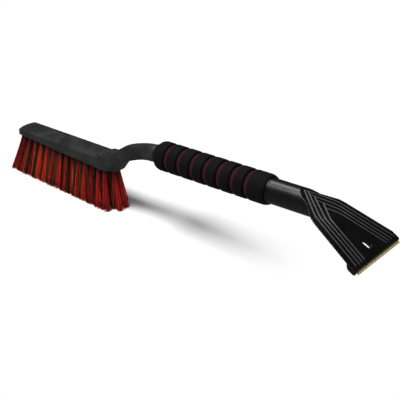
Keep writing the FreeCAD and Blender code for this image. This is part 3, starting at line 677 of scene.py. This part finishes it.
def rounded_profile(corners, step=0.7):
    """A profile through (along, radius, rounding) corners, with a point every step or so."""
    points = []
    for i, (along, radius, rounding) in enumerate(corners):
        here = Vector((along, radius))
        if rounding == 0 or i in (0, len(corners) - 1):
            points.append(here)
            continue
        into = (Vector(corners[i - 1][:2]) - here).normalized() * rounding
        out = (Vector(corners[i + 1][:2]) - here).normalized() * rounding
        for k in range(6):
            t = k / 5
            points.append((here + into) * (1 - t) ** 2 + here * 2 * t * (1 - t) + (here + out) * t**2)
    fine = [points[0]]
    for point in points[1:]:
        pieces = max(1, round((point - fine[-1]).length / step))
        start = fine[-1].copy()
        fine += [start.lerp(point, (k + 1) / pieces) for k in range(pieces)]
    return fine


def turn_foam(name, corners, material, node, dimple):
    """A closed foam ring turned about the grip's axis, with a soft uneven skin."""
    profile = rounded_profile(corners)
    vertices, faces = [], []
    for step in range(TURN_STEPS):
        a = math.tau * step / TURN_STEPS
        for along, radius in profile:
            seat = Vector((along, radius * math.cos(a), radius * math.sin(a)))
            soft = noise.noise(seat * 0.35) * 0.5 + noise.noise(seat * 1.6) * 0.5
            grown = radius + (soft * dimple if radius > SLEEVE_RADIUS - 0.5 else 0)
            place = Vector((along, grown * math.cos(a), grown * math.sin(a))) * MM
            vertices.append(GRIP_FRAME @ place)
    count = len(profile)
    for step in range(TURN_STEPS):
        after = (step + 1) % TURN_STEPS
        for k in range(count):
            nxt = (k + 1) % count
            faces.append((step * count + k, step * count + nxt, after * count + nxt, after * count + k))
    piece = add_soft_piece(name, vertices, faces, material, node)


def dress_grip():
    """The red sleeve and the eight black bands over it."""
    sleeve = [
        (TUBE_START, SLEEVE_BORE, 0),
        (TUBE_START, SLEEVE_RADIUS - 1.5, 0),
        (NOSE_LENGTH, SLEEVE_RADIUS, 0),
        (GRIP_LENGTH - 1, SLEEVE_RADIUS, 0),
        (GRIP_LENGTH - 1, SLEEVE_BORE, 0),
    ]
    turn_foam("red_foam_sleeve", sleeve, RED_FOAM, "grip_red_sleeve", 0.1)
    low = SLEEVE_RADIUS + 0.02
    for band in range(BANDS):
        start = GROOVE_FIRST + (band - 1) * GROOVE_PITCH + GROOVE_WIDTH / 2
        end = start + GROOVE_PITCH - GROOVE_WIDTH
        left = [(start, low, 0), (start, GRIP_RADIUS - 1.5, 0.6), (start + 1.9, GRIP_RADIUS, 1.4)]
        right = [(end - 1.1, GRIP_RADIUS, 0.9), (end, GRIP_RADIUS - 1.3, 0.6), (end, low, 0)]
        if band == 0:
            left = [
                (NOSE_LENGTH, low, 0),
                (TUBE_START - 0.1, low - 1.5, 0),
                (TUBE_START - 0.1, SLEEVE_BORE - 0.1, 0),
                (0, SLEEVE_BORE - 0.1, 0),
                (0, 11.7, 0.4),
                (8.3, GRIP_RADIUS, 2.6),
            ]
        if band == BANDS - 1:
            right = [
                (GRIP_LENGTH - 4.5, GRIP_RADIUS, 1.5),
                (GRIP_LENGTH, GRIP_RADIUS - 1.4, 0.7),
                (GRIP_LENGTH, low, 0),
            ]
        name, node = f"black_foam_band_{band + 1}", f"grip_band_{band + 1}"
        turn_foam(name, left + right, BLACK_FOAM, node, 0.12)


# ---------------------------------------------------------------- studio


def add_softbox(name, place, target, width, height, power):
    """A rectangular area light aimed at a point."""
    light = bpy.data.lights.new(name, "AREA")
    light.shape = "RECTANGLE"
    light.size, light.size_y = width, height
    light.energy = power
    lamp = bpy.data.objects.new(name, light)
    lamp.location = place
    lamp.rotation_euler = (Vector(target) - Vector(place)).to_track_quat("-Z", "Y").to_euler()
    bpy.context.scene.collection.objects.link(lamp)
    return lamp


def build_studio():
    """A pale floor, a small key light, an overhead strip that shows only in gloss, and a bright surround."""
    reach, drop = 6, 0.2 * MM
    corners = [(-reach, -reach, 0), (reach, -reach, 0), (reach, reach, 0), (-reach, reach, 0)]
    mesh = bpy.data.meshes.new("floor")
    mesh.from_pydata(corners, [], [(0, 1, 2, 3)])
    mesh.materials.append(make_floor_paint())
    floor = bpy.data.objects.new("floor", mesh)
    floor.location.z = -drop
    bpy.context.scene.collection.objects.link(floor)

    add_softbox("key_softbox", (-0.2, -0.38, 1.25), (-0.1, 0, 0.05), 0.4, 0.4, 20)
    overhead = add_softbox("overhead_reflector", (-0.6, 0.36, 1.3), (-0.6, 0, 0.1), 1.1, 0.46, 10)
    overhead.visible_diffuse = False

    world = bpy.data.worlds.new("bright_surround")
    world.use_nodes = True
    tree = world.node_tree
    path = add_node(tree, "ShaderNodeLightPath").outputs
    mirrored = remap(tree, path["Is Glossy Ray"], 0, 1, 0.2, 0.03, smooth=False)
    strength = arithmetic(tree, "MAXIMUM", mirrored, path["Is Camera Ray"])
    background = tree.nodes["Background"]
    background.inputs["Color"].default_value = (1, 1, 1, 1)
    feed(tree, background.inputs["Strength"], strength)
    bpy.context.scene.world = world
    bpy.context.scene.view_settings.view_transform = "Standard"


CAMERA_PLACE = (0.72119, -0.80314, 0.67934)
CAMERA_AIM = Vector((-0.5585, 0.6577, -0.5055))
CAMERA_LENS = 92.9


def place_camera():
    """A long lens from above the near side, at the scraper's end."""
    data = bpy.data.cameras.new("studio_camera")
    data.sensor_width = 36
    data.lens = CAMERA_LENS
    camera = bpy.data.objects.new("studio_camera", data)
    camera.location = CAMERA_PLACE
    camera.rotation_euler = CAMERA_AIM.to_track_quat("-Z", "Y").to_euler()
    bpy.context.scene.collection.objects.link(camera)
    bpy.context.scene.camera = camera


place_camera()
finish_cad_parts()
lay_ribs()
plant_bristles()
dress_grip()
build_studio()
